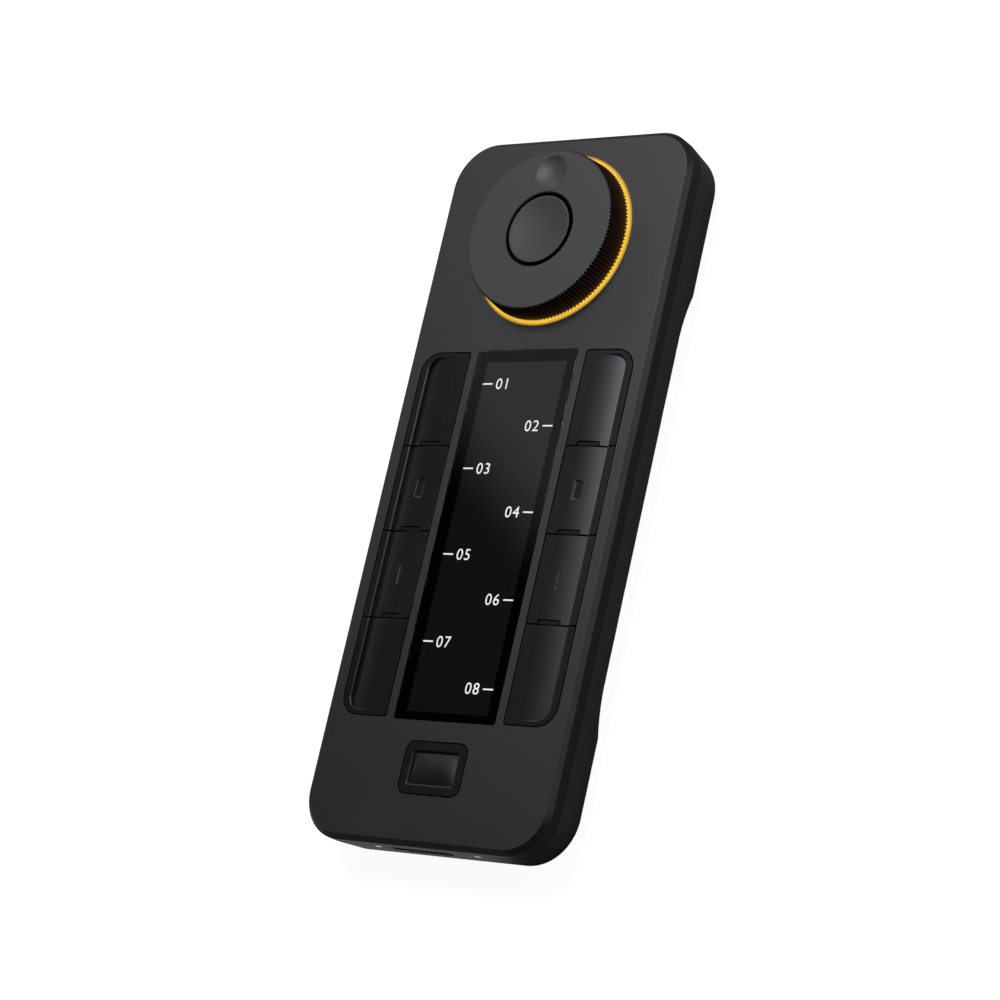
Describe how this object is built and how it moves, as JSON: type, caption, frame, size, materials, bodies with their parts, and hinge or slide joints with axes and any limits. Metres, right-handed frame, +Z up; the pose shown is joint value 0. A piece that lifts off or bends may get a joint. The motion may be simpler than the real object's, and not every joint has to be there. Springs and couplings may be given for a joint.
{
  "type": "macro keypad with dial",
  "caption": "Slim hand-held macro keypad: lit display between two columns of sprung keys, a set button below and a large knurled dial with a centre button and light ring above.",
  "frame": {"origin": "on the desk under the middle of the case, at the underside of the rubber feet", "axes": "+Y along the case to the dial end, +X to the right-hand keys, +Z up out of the face"},
  "size_m": [0.0632, 0.1577, 0.0181],
  "materials": {
    "shell_soft_black": "soft-touch matt, very fine grain",
    "case_black": "fine moulded grain",
    "key_black": "satin",
    "dial_black": "soft-touch matt",
    "display_glass": "polished, smoked",
    "display_lit": "lit panel with plain numbers",
    "foot_rubber": "matt",
    "light_amber": "milky light guide, lit amber",
    "status_green": "milky light pipe, lit green",
    "status_blue": "milky light pipe, lit blue",
    "spring_steel": "bright stamped",
    "screw_steel": "zinc plated",
    "flex_amber": "polyimide film",
    "connector_white": "moulded",
    "bush_acetal": "self-lubricating",
    "magnet_dark": "bonded magnet",
    "board_green": "solder mask",
    "chip_black": "moulded",
    "emitter_white": "ceramic package",
    "battery_foil": "laminated foil",
    "lead_red": "insulated wire"
  },
  "bodies": {
    "case": {"top_shell": "shell_soft_black", "bottom_case": "case_black", "foot_front": "foot_rubber", "foot_rear": "foot_rubber", "display_glass": "display_glass", "display_panel": "display_lit", "display_bracket": "spring_steel", "display_flex": "flex_amber", "display_plug": "connector_white", "key_guide_left": "key_black", "key_guide_right": "key_black", "key_switches": "chip_black", "set_button_switch": "chip_black", "dial_bush": "bush_acetal", "code_sensor": "chip_black", "dial_button_guide": "bush_acetal", "dial_button_switch": "chip_black", "light_ring": "light_amber", "ring_lights": "emitter_white", "main_board": "board_green", "main_chip": "chip_black", "radio_shield": "spring_steel", "board_screws": "screw_steel", "case_screws": "screw_steel", "battery": "battery_foil", "battery_leads": "lead_red", "battery_plug": "connector_white", "power_switch": "chip_black", "status_light_left": "status_green", "status_light_right": "status_blue", "status_emitters": "emitter_white", "usb_socket": "spring_steel", "usb_tongue": "chip_black"},
    "set_button": {"set_button": "key_black"},
    "dial": {"dial_wheel": "dial_black", "dial_clip": "spring_steel", "code_ring": "magnet_dark"},
    "dial_button": {"dial_button": "dial_black"},
    "power_slider": {"power_slider": "case_black"},
    "key_left_1": {"key_left_1": "key_black"},
    "key_left_2": {"key_left_2": "key_black"},
    "key_left_3": {"key_left_3": "key_black"},
    "key_left_4": {"key_left_4": "key_black"},
    "key_right_1": {"key_right_1": "key_black"},
    "key_right_2": {"key_right_2": "key_black"},
    "key_right_3": {"key_right_3": "key_black"},
    "key_right_4": {"key_right_4": "key_black"}
  },
  "joints": [
    {"name": "key_left_1_press", "type": "slide", "parent": "case", "child": "key_left_1", "axis": [0, 0, -1], "range_m": [0, 0.0006], "stiffness_N_per_m": 1200, "springref_m": -0.0003},
    {"name": "key_left_2_press", "type": "slide", "parent": "case", "child": "key_left_2", "axis": [0, 0, -1], "range_m": [0, 0.0006], "stiffness_N_per_m": 1200, "springref_m": -0.0003},
    {"name": "key_left_3_press", "type": "slide", "parent": "case", "child": "key_left_3", "axis": [0, 0, -1], "range_m": [0, 0.0006], "stiffness_N_per_m": 1200, "springref_m": -0.0003},
    {"name": "key_left_4_press", "type": "slide", "parent": "case", "child": "key_left_4", "axis": [0, 0, -1], "range_m": [0, 0.0006], "stiffness_N_per_m": 1200, "springref_m": -0.0003},
    {"name": "key_right_1_press", "type": "slide", "parent": "case", "child": "key_right_1", "axis": [0, 0, -1], "range_m": [0, 0.0006], "stiffness_N_per_m": 1200, "springref_m": -0.0003},
    {"name": "key_right_2_press", "type": "slide", "parent": "case", "child": "key_right_2", "axis": [0, 0, -1], "range_m": [0, 0.0006], "stiffness_N_per_m": 1200, "springref_m": -0.0003},
    {"name": "key_right_3_press", "type": "slide", "parent": "case", "child": "key_right_3", "axis": [0, 0, -1], "range_m": [0, 0.0006], "stiffness_N_per_m": 1200, "springref_m": -0.0003},
    {"name": "key_right_4_press", "type": "slide", "parent": "case", "child": "key_right_4", "axis": [0, 0, -1], "range_m": [0, 0.0006], "stiffness_N_per_m": 1200, "springref_m": -0.0003},
    {"name": "set_button_press", "type": "slide", "parent": "case", "child": "set_button", "axis": [0, 0, -1], "range_m": [0, 0.0005], "stiffness_N_per_m": 1500, "springref_m": -0.0003},
    {"name": "dial_turn", "type": "hinge", "parent": "case", "child": "dial", "pos_m": [0, 0.05469, 0.0123], "axis": [0, 0, 1], "continuous": true},
    {"name": "dial_button_press", "type": "slide", "parent": "case", "child": "dial_button", "axis": [0, 0, -1], "range_m": [0, 0.0005], "stiffness_N_per_m": 1500, "springref_m": -0.0003},
    {"name": "power_slide", "type": "slide", "parent": "case", "child": "power_slider", "axis": [-1, 0, 0], "range_m": [0, 0.0035]}
  ]
}
